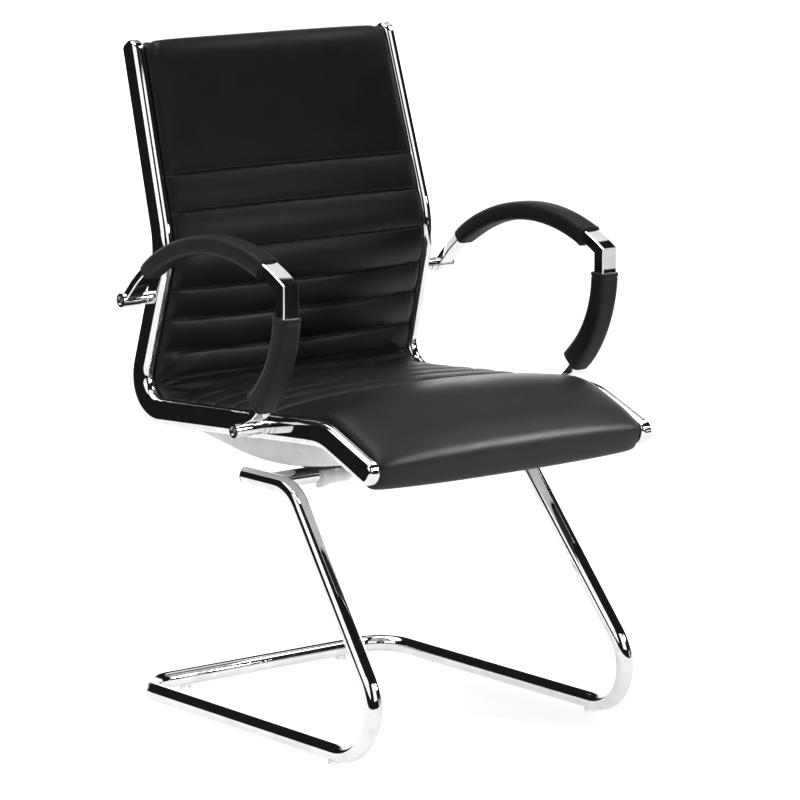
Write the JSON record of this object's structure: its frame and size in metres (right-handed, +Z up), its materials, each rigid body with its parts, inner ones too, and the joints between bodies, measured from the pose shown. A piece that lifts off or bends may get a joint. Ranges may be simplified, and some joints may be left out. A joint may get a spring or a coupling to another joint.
{
  "type": "cantilever conference chair",
  "caption": "Cantilever visitor chair: bent chrome tube base, chromed side rails, black channel-stitched leather sling seat and back, and arched arms with leather sleeves.",
  "frame": {"origin": "on the floor below the middle of the chair's overall box", "axes": "+Z up, the sitter faces -Y, +X to the left hand of the sitter"},
  "size_m": [0.599, 0.5992, 0.9588],
  "materials": {
    "chrome_plate": "bright polished",
    "zinc_plated_steel": "plain zinc",
    "clear_glide_plastic": "semi-clear",
    "black_plug_plastic": "fine matt",
    "ivory_clip_plastic": "satin",
    "black_painted_steel": "powder coat",
    "beech_plywood": "raw",
    "black_leather": "satin, fine grain",
    "sleeve_leather": "matt, smooth",
    "pale_grey_lining": "woven, matt"
  },
  "bodies": {
    "root": {"back_cover": "black_leather", "back_pad": "black_leather", "base_crossbar": "chrome_plate", "base_tube": "chrome_plate", "glide_front_left": "clear_glide_plastic", "glide_front_right": "clear_glide_plastic", "glide_rear_left": "clear_glide_plastic", "glide_rear_right": "clear_glide_plastic", "head_pad": "black_leather", "left_arm_bolts": "zinc_plated_steel", "left_arm_frame": "chrome_plate", "left_arm_sleeve": "sleeve_leather", "left_arm_spacers": "chrome_plate", "left_crossbar_clip": "ivory_clip_plastic", "left_front_cap": "chrome_plate", "left_post_sleeve": "sleeve_leather", "left_rail_bushes": "zinc_plated_steel", "left_rail_nose": "chrome_plate", "left_side_rail": "chrome_plate", "left_stub_cap": "black_plug_plastic", "left_top_cap": "chrome_plate", "moulded_shell": "beech_plywood", "mount_bolts": "zinc_plated_steel", "mount_spacers": "zinc_plated_steel", "mount_washers": "zinc_plated_steel", "right_arm_bolts": "zinc_plated_steel", "right_arm_frame": "chrome_plate", "right_arm_sleeve": "sleeve_leather", "right_arm_spacers": "chrome_plate", "right_crossbar_clip": "ivory_clip_plastic", "right_front_cap": "chrome_plate", "right_post_sleeve": "sleeve_leather", "right_rail_bushes": "zinc_plated_steel", "right_rail_nose": "chrome_plate", "right_side_rail": "chrome_plate", "right_stub_cap": "black_plug_plastic", "right_top_cap": "chrome_plate", "seat_front_pad": "black_leather", "seat_mount_plate": "black_painted_steel", "seat_rear_pad": "black_leather", "shell_screws": "zinc_plated_steel", "tee_nuts": "zinc_plated_steel", "underside_lining": "pale_grey_lining"}
  },
  "joints": []
}
